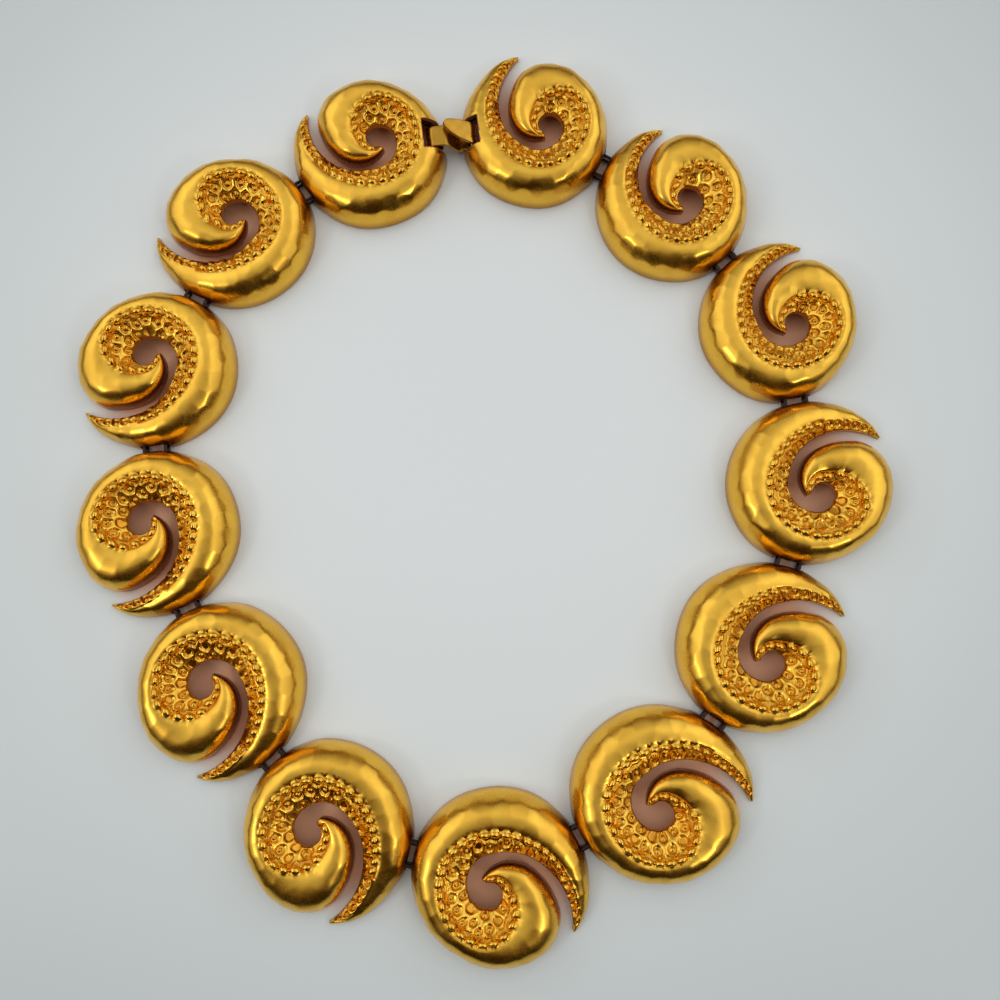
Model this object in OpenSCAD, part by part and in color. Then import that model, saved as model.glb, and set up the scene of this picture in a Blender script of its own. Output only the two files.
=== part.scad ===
// Spiral choker: a closed loop of domed, open-backed spiral medallions in hammered gold-coloured metal.
// Each medallion is one tapering arm, curled from a thin tail tip round to a fat lobe that ends in an inner
// hook. A comma-shaped slot runs in beside the tail and ends in a central hole, and a band of raised grains
// follows the slot. Small rings join the medallions in pairs, and a bent strip hook closes the loop.
// The loop lies flat: +Z is up, the rims stand on z = 0, and the clasp is at the +Y end.

/* [Medallions] */
// Height of a medallion's crown
crown_h = 7.5; // [7:0.1:8]
// Thickness of the metal
wall_t = 0.9; // [0.8:0.1:1]
// Depth of the turned-down lip along the slot
lip_h = 1.6; // [1.2:0.1:1.8]

/* [Granulated band] */
// Radius of the grains where the band is widest
grain_r = 0.8; // [0.6:0.05:0.85]
// Radius of the grains at the tips of the band
grain_tip_r = 0.6; // [0.5:0.05:0.65]
// Distance from row to row
row_pitch = 2.0; // [1.9:0.1:2.2]

/* [Links] */
// Gap between the discs of two neighbours
rim_gap = 1.2; // [1.1:0.1:1.4]
// Width of the cut-out in the rim at a link
cut_w = 6.2; // [6:0.1:6.4]
// Height of that cut-out
cut_h = 2.7; // [2.6:0.1:2.9]
// Radius of the bar across the cut-out
bar_r = 0.35; // [0.3:0.05:0.4]
// Depth of a bar's centre behind the rim
bar_in = 0.9; // [0.8:0.05:1]
// Radius of the wire of a ring
ring_wire_r = 0.35; // [0.3:0.05:0.35]
// Distance between the two rings of a link
ring_pair = 4.4; // [4:0.1:4.6]

/* [Clasp] */
// Width of the strip of the hook
hook_w = 4.8; // [4.4:0.1:4.9]
// Thickness of the strip
hook_t = 0.7; // [0.6:0.05:0.75]
// Depth of the notch that holds the hook
eye_notch = 4.2; // [4.1:0.1:4.4]
// Depth of the notch that the hook catches in
catch_notch = 3.7; // [3.6:0.1:3.9]
// Width of both notches
notch_w = 6.4; // [6.3:0.1:6.6]
// Rise of the hook's tongue in degrees
tongue_rise = 20; // [15:1:24]

/* [Hidden] */
// Sections of the arm of a 33 mm medallion, in polar form about its central hole: angle on from the tail tip,
// radius of the slot edge, of the band's outer edge and of the outer edge, height of the slot edge and of the
// crown, place of the crown across the arm, height of the outer edge
ANGLE = 0; SLOT_R = 1; BAND_R = 2; OUTER_R = 3; SLOT_Z = 4; CROWN_Z = 5; CROWN_AT = 6; OUTER_Z = 7;
ARM = [
    [  1, 17.80, 18.08, 18.30, 0.08, 0.13, 0.50, 0.07],
    [  6, 17.16, 18.16, 18.62, 0.16, 0.25, 0.50, 0.07],
    [ 15, 15.94, 17.83, 19.10, 0.23, 0.39, 0.48, 0.07],
    [ 30, 14.02, 16.50, 19.42, 0.34, 0.57, 0.45, 0.07],
    [ 50, 11.75, 14.78, 19.68, 0.48, 0.75, 0.47, 0.07],
    [ 75,  9.55, 13.20, 19.69, 0.58, 0.89, 0.50, 0.07],
    [100,  7.75, 12.30, 19.41, 0.62, 0.95, 0.52, 0.07],
    [130,  6.55, 11.60, 18.35, 0.65, 0.99, 0.55, 0.07],
    [160,  5.15, 10.75, 16.95, 0.66, 1.00, 0.57, 0.07],
    [195,  3.80,  9.45, 14.94, 0.66, 1.00, 0.60, 0.07],
    [230,  3.20,  8.85, 13.44, 0.65, 1.00, 0.60, 0.07],
    [265,  2.85,  8.70, 13.07, 0.64, 0.99, 0.60, 0.07],
    [300,  2.80,  8.80, 14.02, 0.62, 0.98, 0.58, 0.07],
    [325,  2.90,  8.00, 15.22, 0.62, 0.95, 0.56, 0.07],
    [345,  2.95,  7.05, 15.72, 0.61, 0.93, 0.56, 0.07],
    [356,  2.90,  6.60, 15.44, 0.61, 0.92, 0.55, 0.08],
    [368,  2.80,  5.95, 14.54, 0.61, 0.91, 0.55, 0.13],
    [382,  2.70,  5.25, 12.65, 0.61, 0.90, 0.55, 0.21],
    [400,  2.60,  4.70, 10.55, 0.61, 0.87, 0.56, 0.31],
    [420,  2.45,  4.35,  8.65, 0.61, 0.84, 0.58, 0.41],
    [445,  2.20,  4.00,  6.45, 0.60, 0.78, 0.60, 0.49],
    [470,  1.90,  3.50,  4.45, 0.59, 0.71, 0.60, 0.53],
    [490,  2.15,  2.95,  3.20, 0.58, 0.63, 0.55, 0.55],
    [500,  2.70,  2.75,  2.80, 0.57, 0.58, 0.50, 0.56]
];
// The medallions clockwise from the clasp: diameter, direction of the tail tip, direction of the next
// medallion, how far the tail stands out, how much of the hook is missing
SIZE = 0; TAIL = 1; NEXT = 2; TAIL_OUT = 3; HOOK_CUT = 4;
LAY = [
    [31.7,  101,  -29.1, 1.5,  0],
    [32.3,   96,  -50.2, 0.0,  0],
    [32.7,   72,  -80.9, 0.0,  0],
    [33.5,   33, -107.9, 0.0,  0],
    [34.1,   21, -126.3, 0.0,  0],
    [34.7,   -4, -153.5, 0.0,  0],
    [34.0,  -35, -194.8, 0.0,  0],
    [33.8,  -88, -230.9, 0.0, 12],
    [33.9, -104, -246.0, 0.0,  0],
    [33.0, -121, -267.2, 0.0,  0],
    [32.8, -148, -297.8, 0.0,  0],
    [32.3, -177, -328.3, 0.0,  0],
    [32.0,  147, -352.7, 0.0,  0]
];
COUNT = len(LAY);
// Centre of the first medallion
FIRST = [11.53, 76.18];
// Diameter that the sections are drawn for, and where the hole lies from the disc's centre
base_d = 33;
hole_off = 3.03;
hole_dir = 256.8;
// Direction about the hole at which the arm's angle 0 lies
arm_dir = 8.5;
// Sharpness of the fall from the crown to the rim
flank = 2.2;
// Angles of the sections, closer together where the outline turns fast
STATIONS = concat([1, 3, 6, 12, 19, 28, 38], [for (a = [50:15:320]) a], [332, 341, 348, 354, 361, 368, 376],
    [for (a = [386:14:470]) a], [480, 490, 500]);
// Shares of the arm's width at which its outside and its ceiling have a point
OUTSIDE = [0, 0.22, 0.5, 0.74, 0.92, 1];
CEILING = [0.76, 0.38];
// The wall is never more than this share of the arm's width
wall_share = 0.28;
// Distance from grain to grain along a row, in grain radii
grain_step = 2.8;
SECTION_POINTS = len(OUTSIDE) + len(CEILING) + 4;
bar_z = 1.3;
bar_len = cut_w + 1.2;
ring_clear = 0.15;
ring_r = bar_r + ring_clear + ring_wire_r;
ring_len = rim_gap + 2 * bar_in;
// Clasp: depth of the bars of the two staples behind the rims, their height and radius, the height of the
// staples' feet, their width and how deep the feet go in
eye_bar_in = 2.1;
catch_bar_in = 1.3;
clasp_bar_z = 3.6;
staple_r = 0.45;
eye_foot_z = 6.7;
catch_foot_z = 5.8;
staple_w = 6.1;
foot_sink = 0.4;
// The hook: inner radius of its eye and of its bend, height of the middle of the bend, where the strip starts
// and ends its way down, counted from the eye, length of the tongue and its lean to +Y
eye_r = 1.1;
bend_r = 1.2;
bend_z = 3.4;
fall_from = 2.2;
fall_to = 5.4;
tongue_len = 5.6;
tongue_lean = 1.8;
// Thickness of the tongue, a little less than the strip's
tongue_t = 0.66;
gold = [0.84, 0.62, 0.18];
wire_gold = [0.42, 0.28, 0.14];

function pad(n) = n < 10 ? str("0", n) : str(n);
MEDALLIONS = [for (i = [0:COUNT - 1]) str("medallion_", pad(i + 1))];
RINGS = [for (i = [0:COUNT - 2], side = ["a", "b"]) str("ring_", pad(i + 1), "_", side)];

// The sections, smoothly joined
function step(i) = ARM[i + 1][ANGLE] - ARM[i][ANGLE];
function grade(i, c) = (ARM[i + 1][c] - ARM[i][c]) / step(i);
function slope(i, c) =
    i == 0 ? grade(0, c) :
    i == len(ARM) - 1 ? grade(i - 1, c) :
    (grade(i - 1, c) * step(i) + grade(i, c) * step(i - 1)) / (step(i - 1) + step(i));
function row_at(a, i = 0) = i >= len(ARM) - 2 || a < ARM[i + 1][ANGLE] ? i : row_at(a, i + 1);
function arm(c, a) =
    let (i = row_at(a), h = step(i), t = (a - ARM[i][ANGLE]) / h)
    (2 * t^3 - 3 * t^2 + 1) * ARM[i][c] + (t^3 - 2 * t^2 + t) * h * slope(i, c)
    + (3 * t^2 - 2 * t^3) * ARM[i + 1][c] + (t^3 - t^2) * h * slope(i + 1, c);

// Height of the outside at angle a, a share s of the way across the arm
function dome_z(a, s) =
    let (at = arm(CROWN_AT, a), crown = arm(CROWN_Z, a), slot = arm(SLOT_Z, a), outer = arm(OUTER_Z, a))
    crown_h * (s < at
        ? slot + (crown - slot) * sin(90 * s / at)
        : outer + (crown - outer) * sqrt(1 - min(1, ((s - at) / (1 - at))^flank)));

// One section as points [radius, height], from the bottom of the slot's lip over the crown to the rim and back
function section(a, k, out) =
    let (
        bend = a < 60 ? out * ((60 - a) / 60)^2 : 0,
        inner = arm(SLOT_R, a) * k + bend,
        outer = arm(OUTER_R, a) * k + bend,
        w = outer - inner,
        t = min(wall_t, wall_share * w),
        slot_low = max(dome_z(a, 0) - lip_h, 0),
        outer_low = max(dome_z(a, 1) - lip_h, 0)
    )
    concat(
        [[inner, slot_low]],
        [for (s = OUTSIDE) [inner + s * w, dome_z(a, s)]],
        [[outer, outer_low], [outer - t, outer_low]],
        [for (s = CEILING) [inner + s * w, dome_z(a, s) - t]],
        [[inner + t, slot_low]]
    );

// Faces of the closed end of the arm: strips between the outside and the underside of the section
function cap(first, flip) =
    let (
        corners = [[0, 1, 2], [0, 2, 11], [11, 2, 3], [11, 3, 10], [10, 3, 4], [10, 4, 9], [9, 4, 5],
            [9, 5, 8], [8, 5, 6], [8, 6, 7]]
    )
    [for (p = corners) let (q = [p[0] + first, p[1] + first, p[2] + first]) flip ? [q[2], q[1], q[0]] : q];

// The arm of a medallion as one swept shell, k times the size of the table's
module arm_shell(k, out, hook_cut) {
    stations = [for (a = STATIONS) min(a, 500 - hook_cut)];
    used = [for (i = [0:len(stations) - 1]) if (i == 0 || stations[i] > stations[i - 1]) stations[i]];
    points = [for (a = used, p = section(a, k, out))
        [p[0] * cos(a + arm_dir), p[0] * sin(a + arm_dir), p[1]]];
    n = SECTION_POINTS;
    last = len(used) - 1;
    sides = [for (i = [0:last - 1], j = [0:n - 1])
        let (a = i * n + j, b = i * n + (j + 1) % n, c = a + n, d = b + n)
        each [[a, b, c], [b, d, c]]];
    polyhedron(points = points, faces = concat(sides, cap(0, false), cap(last * n, true)));
}

// Angles at which the grains of a row stand, one grain's width apart along the row
function band_width(a, k) = (arm(BAND_R, a) - arm(SLOT_R, a)) * k;
function grain(a, k) =
    grain_tip_r + (grain_r - grain_tip_r) * min(1, max(0, (band_width(a, k) - 1.5) / 3));
function row_r(a, k, row) = arm(BAND_R, a) * k - grain(a, k) - row * row_pitch;
function row_fits(a, k, row) = row_r(a, k, row) - grain(a, k) * 0.8 > arm(SLOT_R, a) * k;
function grains(a, end, k, row) =
    a > end ? [] :
    concat(row_fits(a, k, row) ? [a] : [],
        grains(a + grain_step * grain(a, k) / max(row_r(a, k, row), 1) * 180 / PI, end, k, row));

module granulation(k, out, hook_cut) {
    for (row = [0:2], a = grains(6 + row * 3, 474 - hook_cut, k, row)) {
        r = row_r(a, k, row);
        bend = a < 60 ? out * ((60 - a) / 60)^2 : 0;
        share = (r - arm(SLOT_R, a) * k) / ((arm(OUTER_R, a) - arm(SLOT_R, a)) * k);
        rotate(a + arm_dir) translate([r + bend, 0, dome_z(a, share) - 0.2 * grain(a, k)])
            sphere(r = grain(a, k), $fn = 24);
    }
}

// Cut-out in the rim, reaching depth mm in from a rim of radius r, in the direction of +X
module rim_cut(r, depth, w, h) {
    translate([r - depth, -w / 2, -1]) cube([depth + 3, w, h + 1]);
}

module cross_bar(r, z, length, radius) {
    translate([r, 0, z]) rotate([90, 0, 0]) cylinder(r = radius, h = length, center = true, $fn = 24);
}

// A wire staple in a clasp notch: a bar with a leg at each end that runs back up to the notch's edge
module staple(bar_x, foot_x, foot_z) {
    rise = foot_z - clasp_bar_z;
    run = bar_x - foot_x;
    cross_bar(bar_x, clasp_bar_z, staple_w, staple_r);
    for (side = [-1, 1]) translate([bar_x, side * staple_w / 2, clasp_bar_z]) {
        sphere(r = staple_r, $fn = 24);
        rotate([0, -atan2(run, rise), 0]) cylinder(r = staple_r, h = norm([run, rise]), $fn = 24);
    }
}

// Direction of the neighbours of medallion i, and where its centre lies
function to_next(i) = LAY[i][NEXT];
function to_last(i) = LAY[(i + COUNT - 1) % COUNT][NEXT] + 180;
function pitch(i) = (LAY[i][SIZE] + LAY[i + 1][SIZE]) / 2 + rim_gap;
function place(i) =
    i == 0 ? FIRST : place(i - 1) + pitch(i - 1) * [cos(to_next(i - 1)), sin(to_next(i - 1))];

// A medallion: the arm with its grains, opened at its two links and closed again with a bar across each
module medallion(i) {
    r = LAY[i][SIZE] / 2;
    k = LAY[i][SIZE] / base_d;
    holds_hook = i == COUNT - 1;
    catches_hook = i == 0;
    next_depth = holds_hook ? eye_notch : 2.4;
    last_depth = catches_hook ? catch_notch : 2.4;
    color(gold) translate(place(i)) {
        difference() {
            rotate(LAY[i][TAIL]) translate([hole_off * k * cos(hole_dir), hole_off * k * sin(hole_dir), 0]) {
                arm_shell(k, LAY[i][TAIL_OUT], LAY[i][HOOK_CUT]);
                granulation(k, LAY[i][TAIL_OUT], LAY[i][HOOK_CUT]);
            }
            rotate(to_next(i))
                rim_cut(r, next_depth, holds_hook ? notch_w : cut_w, holds_hook ? 12 : cut_h);
            rotate(to_last(i))
                rim_cut(r, last_depth, catches_hook ? notch_w : cut_w, catches_hook ? 12 : cut_h);
        }
        rotate(to_next(i)) {
            if (holds_hook) staple(r - eye_bar_in, r - eye_notch - foot_sink, eye_foot_z);
            else cross_bar(r - bar_in, bar_z, bar_len, bar_r);
        }
        rotate(to_last(i)) {
            if (catches_hook) staple(r - catch_bar_in, r - catch_notch - foot_sink, catch_foot_z);
            else cross_bar(r - bar_in, bar_z, bar_len, bar_r);
        }
    }
}

// A flattened ring round the two bars of a link, side is -1 or 1
module ring(i, side) {
    mid = place(i) + (LAY[i][SIZE] / 2 + rim_gap / 2) * [cos(to_next(i)), sin(to_next(i))];
    color(wire_gold) translate([mid[0], mid[1], bar_z]) rotate(to_next(i))
        translate([0, side * ring_pair / 2, 0]) rotate([90, 0, 0]) {
            for (end = [-1, 1]) {
                translate([end * ring_len / 2, 0, 0]) rotate(end > 0 ? -90 : 90)
                    rotate_extrude(angle = 180, $fn = 48) translate([ring_r, 0]) circle(r = ring_wire_r, $fn = 24);
                translate([-ring_len / 2, end * ring_r, 0]) rotate([0, 90, 0])
                    cylinder(r = ring_wire_r, h = ring_len, $fn = 24);
            }
        }
}

// Middle line of the strip seen from the side: round the eye from its free end, over its top, down and under
// the bar of the first medallion, and up round the bend to where the tongue starts
function strip_line(eye_x, catch_x) =
    let (eye_mid = eye_r + hook_t / 2, bend_mid = bend_r + hook_t / 2, high = clasp_bar_z + eye_mid,
        low = bend_z - bend_mid)
    concat(
        [for (q = [370:-20:110]) [eye_x + eye_mid * cos(q), clasp_bar_z + eye_mid * sin(q)]],
        [[eye_x, high]],
        [for (t = [0:0.1:1])
            [eye_x + fall_from + (fall_to - fall_from) * t, low + (high - low) * (1 + cos(180 * t)) / 2]],
        [for (q = [-90:20:90 - tongue_rise]) [catch_x + bend_mid * cos(q), bend_z + bend_mid * sin(q)]]
    );

// Outline of a strip t thick along a line of points
function unit(v) = v / norm(v);
function along(line, i) = unit(line[min(i + 1, len(line) - 1)] - line[max(i - 1, 0)]);
function beside(line, i, d) = line[i] + d * [-along(line, i)[1], along(line, i)[0]];
function strip_outline(line, t) = concat(
    [for (i = [0:len(line) - 1]) beside(line, i, t / 2)],
    [for (i = [len(line) - 1:-1:0]) beside(line, i, -t / 2)]
);

// The tongue from above: a leaf with a rounded tip that leans to one side
LEAF = [0, 0.2, 0.4, 0.55, 0.68, 0.78, 0.86, 0.92, 0.965, 0.99, 1];
function leaf_half(u) = hook_w / 2 * (0.98 - 0.1 * u) * sqrt(max(0, 1 - u^2.6));
function leaf_point(u, side) = [0.3 - u * (tongue_len + 0.3), tongue_lean * u + side * leaf_half(u)];

// The hook: a strip closed round the bar of the last medallion, passed under the bar of the first one and
// bent back over the top into a leaf-shaped tongue
module clasp_hook() {
    first = place(0);
    last = place(COUNT - 1);
    span = norm(first - last);
    heading = atan2(first[1] - last[1], first[0] - last[0]);
    eye_x = LAY[COUNT - 1][SIZE] / 2 - eye_bar_in;
    catch_x = span - LAY[0][SIZE] / 2 + catch_bar_in;
    line = strip_line(eye_x, catch_x);
    start = line[len(line) - 1];
    color(gold) translate([last[0], last[1], 0]) rotate(heading) {
        translate([0, hook_w / 2, 0]) rotate([90, 0, 0]) linear_extrude(height = hook_w)
            polygon(strip_outline(line, hook_t));
        translate([start[0], 0, start[1]]) rotate([0, tongue_rise, 0]) translate([0, 0, -tongue_t / 2])
            linear_extrude(height = tongue_t) polygon(concat(
                [for (u = LEAF) leaf_point(u, 1)],
                [for (i = [len(LEAF) - 2:-1:0]) leaf_point(LEAF[i], -1)]
            ));
    }
}

for (i = [0:COUNT - 1])
    medallion(i);
for (i = [0:COUNT - 2], side = [0, 1])
    ring(i, 2 * side - 1);
clasp_hook();
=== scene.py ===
import bpy
import math
import numpy as np
from mathutils import Matrix, Vector
from types import SimpleNamespace


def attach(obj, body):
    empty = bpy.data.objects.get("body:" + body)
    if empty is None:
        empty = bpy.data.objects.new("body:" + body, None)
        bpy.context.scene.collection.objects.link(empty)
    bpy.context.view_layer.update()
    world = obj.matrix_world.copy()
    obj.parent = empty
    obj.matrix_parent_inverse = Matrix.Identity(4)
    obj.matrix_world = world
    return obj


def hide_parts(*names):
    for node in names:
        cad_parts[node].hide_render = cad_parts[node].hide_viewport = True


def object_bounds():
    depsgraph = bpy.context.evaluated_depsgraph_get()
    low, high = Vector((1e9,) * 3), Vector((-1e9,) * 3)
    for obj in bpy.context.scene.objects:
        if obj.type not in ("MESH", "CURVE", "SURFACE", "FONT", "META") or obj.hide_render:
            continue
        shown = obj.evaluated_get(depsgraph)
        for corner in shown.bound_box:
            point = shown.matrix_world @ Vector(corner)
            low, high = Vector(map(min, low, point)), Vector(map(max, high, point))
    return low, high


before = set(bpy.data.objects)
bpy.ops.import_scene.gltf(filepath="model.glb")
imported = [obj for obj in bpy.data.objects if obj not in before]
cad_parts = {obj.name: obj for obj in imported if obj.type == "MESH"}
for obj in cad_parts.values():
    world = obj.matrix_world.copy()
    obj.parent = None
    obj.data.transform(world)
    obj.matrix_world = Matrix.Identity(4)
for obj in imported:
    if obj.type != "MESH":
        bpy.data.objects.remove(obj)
CAD_BOX = [list(p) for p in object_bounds()]
MM = 0.001

# The medallions in mm and degrees, as in part.scad
CROWN_H = 7.5
WALL_T = 0.9
LIP_H = 1.6
RIM_GAP = 1.2
CUT_W, CUT_H, CUT_IN = 6.2, 2.7, 2.4
BAR_R, BAR_IN, BAR_Z = 0.35, 0.9, 1.3
EYE_NOTCH, CATCH_NOTCH, NOTCH_W = 4.2, 3.7, 6.4
EYE_BAR_IN, CATCH_BAR_IN = 2.1, 1.3
CLASP_BAR_Z, STAPLE_R, STAPLE_W, FOOT_SINK = 3.6, 0.45, 6.1, 0.4
EYE_FOOT_Z, CATCH_FOOT_Z = 6.7, 5.8
HOOK_W, HOOK_T, EYE_R, BEND_R, BEND_Z = 4.8, 0.7, 1.1, 1.2, 3.4
FALL_FROM, FALL_TO = 2.2, 5.4
TONGUE_LEN, TONGUE_LEAN, TONGUE_RISE = 5.6, 1.8, 20.0
FLANK = 2.2
BASE_D, HOLE_OFF, HOLE_DIR, ARM_DIR = 33.0, 3.03, 256.8, 8.5
FIRST = np.array([11.53, 76.18])

# The arm: angle, radii in mm for a medallion of BASE_D, then shares of CROWN_H and of the way across
ANGLE, SLOT_R, BAND_R, OUTER_R, SLOT_Z, CROWN_Z, CROWN_AT, OUTER_Z = range(8)
ARM = np.array([
    [  1, 17.80, 18.08, 18.30, 0.08, 0.13, 0.50, 0.07],
    [  6, 17.16, 18.16, 18.62, 0.16, 0.25, 0.50, 0.07],
    [ 15, 15.94, 17.83, 19.10, 0.23, 0.39, 0.48, 0.07],
    [ 30, 14.02, 16.50, 19.42, 0.34, 0.57, 0.45, 0.07],
    [ 50, 11.75, 14.78, 19.68, 0.48, 0.75, 0.47, 0.07],
    [ 75,  9.55, 13.20, 19.69, 0.58, 0.89, 0.50, 0.07],
    [100,  7.75, 12.30, 19.41, 0.62, 0.95, 0.52, 0.07],
    [130,  6.55, 11.60, 18.35, 0.65, 0.99, 0.55, 0.07],
    [160,  5.15, 10.75, 16.95, 0.66, 1.00, 0.57, 0.07],
    [195,  3.80,  9.45, 14.94, 0.66, 1.00, 0.60, 0.07],
    [230,  3.20,  8.85, 13.44, 0.65, 1.00, 0.60, 0.07],
    [265,  2.85,  8.70, 13.07, 0.64, 0.99, 0.60, 0.07],
    [300,  2.80,  8.80, 14.02, 0.62, 0.98, 0.58, 0.07],
    [325,  2.90,  8.00, 15.22, 0.62, 0.95, 0.56, 0.07],
    [345,  2.95,  7.05, 15.72, 0.61, 0.93, 0.56, 0.07],
    [356,  2.90,  6.60, 15.44, 0.61, 0.92, 0.55, 0.08],
    [368,  2.80,  5.95, 14.54, 0.61, 0.91, 0.55, 0.13],
    [382,  2.70,  5.25, 12.65, 0.61, 0.90, 0.55, 0.21],
    [400,  2.60,  4.70, 10.55, 0.61, 0.87, 0.56, 0.31],
    [420,  2.45,  4.35,  8.65, 0.61, 0.84, 0.58, 0.41],
    [445,  2.20,  4.00,  6.45, 0.60, 0.78, 0.60, 0.49],
    [470,  1.90,  3.50,  4.45, 0.59, 0.71, 0.60, 0.53],
    [490,  2.15,  2.95,  3.20, 0.58, 0.63, 0.55, 0.55],
    [500,  2.70,  2.75,  2.80, 0.57, 0.58, 0.50, 0.56]])

# The medallions in order: diameter, turn, bearing of the next one, longer tail in mm, shorter hook in degrees
SIZE, TAIL, NEXT, TAIL_OUT, HOOK_CUT = range(5)
LAY = [
    [31.7,  101,  -29.1, 1.5,  0],
    [32.3,   96,  -50.2, 0.0,  0],
    [32.7,   72,  -80.9, 0.0,  0],
    [33.5,   33, -107.9, 0.0,  0],
    [34.1,   21, -126.3, 0.0,  0],
    [34.7,   -4, -153.5, 0.0,  0],
    [34.0,  -35, -194.8, 0.0,  0],
    [33.8,  -88, -230.9, 0.0, 12],
    [33.9, -104, -246.0, 0.0,  0],
    [33.0, -121, -267.2, 0.0,  0],
    [32.8, -148, -297.8, 0.0,  0],
    [32.3, -177, -328.3, 0.0,  0],
    [32.0,  147, -352.7, 0.0,  0]]
COUNT = len(LAY)

# How a medallion's mesh is laid out: mm along the arm, degrees, and points across
STEP_ALONG = 0.155
ARM_START, ARM_END = 1, 500
BAND_POINTS, DOME_POINTS, UNDER_POINTS = 32, 26, 8
ACROSS_BAND = np.linspace(0, 1, BAND_POINTS)
ACROSS_DOME = np.sin(np.linspace(0, 1, DOME_POINTS + 1)[1:] * np.pi / 2) ** 0.9
LIP_UP = (0.3, 0.75)
SKIN = slice(1 + len(LIP_UP), 1 + len(LIP_UP) + BAND_POINTS + DOME_POINTS)
RIM = slice(SKIN.stop, SKIN.stop + 3)
PROBE = 0.004
OPEN_PAST, OPEN_BELOW, OPEN_TOP = 3, -1, 12
BAR_PAST = 0.6
CORNER_IN, CORNER_UP, CORNER_ALONG = 0.25, 0.22, 0.3

# Where things start and end along the arm, in degrees. What is at the hook ends earlier where it is shorter.
TAIL_BEND = 60
ROW_FROM, ROW_TO = 8, 479
CELLS_FROM, CELLS_TO, CELL_ROW_TO = 5, 482, 200
TIP_FADE, HOOK_FADE = (3, 9), (476, 484)
UNEVEN_FROM, UNEVEN_TO = (8, 40), (330, 352)
LOBE_FROM, LOBE_TO = (352, 372), (488, 499)
# How far from a link's bearing the outline is even, and the flank has painted shade, in degrees
LINK_EVEN, LINK_SHADE_SPAN = (12, 24), (10, 42)

# Relief in mm: the net between the cells and its ridges, the cells, their beads, and the outer row of beads
NET, RIDGE, RIDGE_W = 0.14, 0.10, 0.2
PIT, PIT_BEAD = 0.56, 0.38
CELL_GAP, CELL_WALL, CELL_R_MIN, CELL_R_MAX = 1.8, 0.14, 0.5, 0.95
ROW_PITCH, ROW_PITCH_MORE = 1.8, 0.42
ROW_IN, ROW_IN_MORE = 0.46, 0.24
BEAD_L, BEAD_W, BEAD_MORE = 0.92, 0.56, 0.20
ROW_FLOOR, ROW_BACK, ROW_RISE = -0.34, -0.26, 1.3
NARROW, MID_FROM, MID_TO = 2.9, 2.3, 3.5
GROOVE, GROOVE_AT, GROOVE_W = 0.10, 1.06, 0.16
# The last fade on the next line is where the painted shade in the groove round the outer row of beads fades
# out
BAND_FADE, GROOVE_FADE, RECESS_SHADE_FADE = (-0.15, 0.3), (-0.6, -0.1), (-0.7, -0.2)
SCATTER_EDGE, SCATTER_SPAN, SETTLE_ROUNDS = 0.6, 1.7, 14
# Hammered skin in mm: distance of the marks, how deep they are, slow waves, unevenness of the outline
MARK_GAP, MARK, MARK_MID, MARK_SOFT, MARK_TRIES = 2.5, 0.023, 1.2, 3.0, 6000
WAVE, WAVES = 0.05, 7
UNEVEN = 0.12
LIP_ROUND = 0.32
LOWEST_SKIN = 0.12
# Shares of painted shade at the foot of the skin, along the slot and beside a link, and heights in mm where
# they fade
EDGE_SHADE, LINK_FLANK_SHADE, LIP_SHADE = 0.55, 0.85, 0.3
FLANK_FADE, LINK_FLANK_FADE, FLANK_FROM = (0.4, 3.6), (1.5, 6.5), (1.0, 3.0)
# Middle points of the caps over the arm's ends: a little painted shade, none of the underside's colour
TIP_SHADE = (0.1, 0.3, 0)


def slopes():
    """Slope of each column of the arm's table at each row."""
    step = np.diff(ARM[:, ANGLE])
    grade = np.diff(ARM, axis=0) / step[:, None]
    out = np.empty_like(ARM)
    out[0], out[-1] = grade[0], grade[-1]
    out[1:-1] = (grade[:-1] * step[1:, None] + grade[1:] * step[:-1, None]) / (step[:-1] + step[1:])[:, None]
    return out


SLOPES = slopes()


def arm(column, a):
    """A column of the arm's table at the angles a, smoothly joined."""
    a = np.asarray(a, float)
    i = np.clip(np.searchsorted(ARM[:, ANGLE], a, side="right") - 1, 0, len(ARM) - 2)
    h = ARM[i + 1, ANGLE] - ARM[i, ANGLE]
    t = (a - ARM[i, ANGLE]) / h
    return ((2 * t**3 - 3 * t**2 + 1) * ARM[i, column] + (t**3 - 2 * t**2 + t) * h * SLOPES[i, column]
            + (3 * t**2 - 2 * t**3) * ARM[i + 1, column] + (t**3 - t**2) * h * SLOPES[i + 1, column])


def dome_z(a, s):
    """Height of the smooth outside at angle a, a share s of the way across the arm, in mm."""
    at, crown, slot, outer = arm(CROWN_AT, a), arm(CROWN_Z, a), arm(SLOT_Z, a), arm(OUTER_Z, a)
    up = slot + (crown - slot) * np.sin(np.pi / 2 * np.clip(s / at, 0, 1))
    x = np.clip((s - at) / (1 - at), 0, 1)
    down = outer + (crown - outer) * np.sqrt(1 - np.minimum(1, x**FLANK))
    return CROWN_H * np.where(s < at, up, down)


def bend(a, out):
    """How far the longer tail is moved out, in mm: out at the tip, nothing past TAIL_BEND."""
    return out * (np.clip(TAIL_BEND - a, 0, None) / TAIL_BEND) ** 2


def heading(degrees):
    return np.array([math.cos(math.radians(degrees)), math.sin(math.radians(degrees))])


def place(i):
    """Middle of medallion i in mm."""
    p = FIRST.copy()
    for j in range(i):
        p += ((LAY[j][SIZE] + LAY[j + 1][SIZE]) / 2 + RIM_GAP) * heading(LAY[j][NEXT])
    return p


def links_of(i):
    """The openings in the rim: bearing, depth, and whether it is the clasp's."""
    return [(LAY[i][NEXT], EYE_NOTCH if i == COUNT - 1 else CUT_IN, i == COUNT - 1),
            (LAY[(i - 1) % COUNT][NEXT] + 180, CATCH_NOTCH if i == 0 else CUT_IN, i == 0)]


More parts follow.
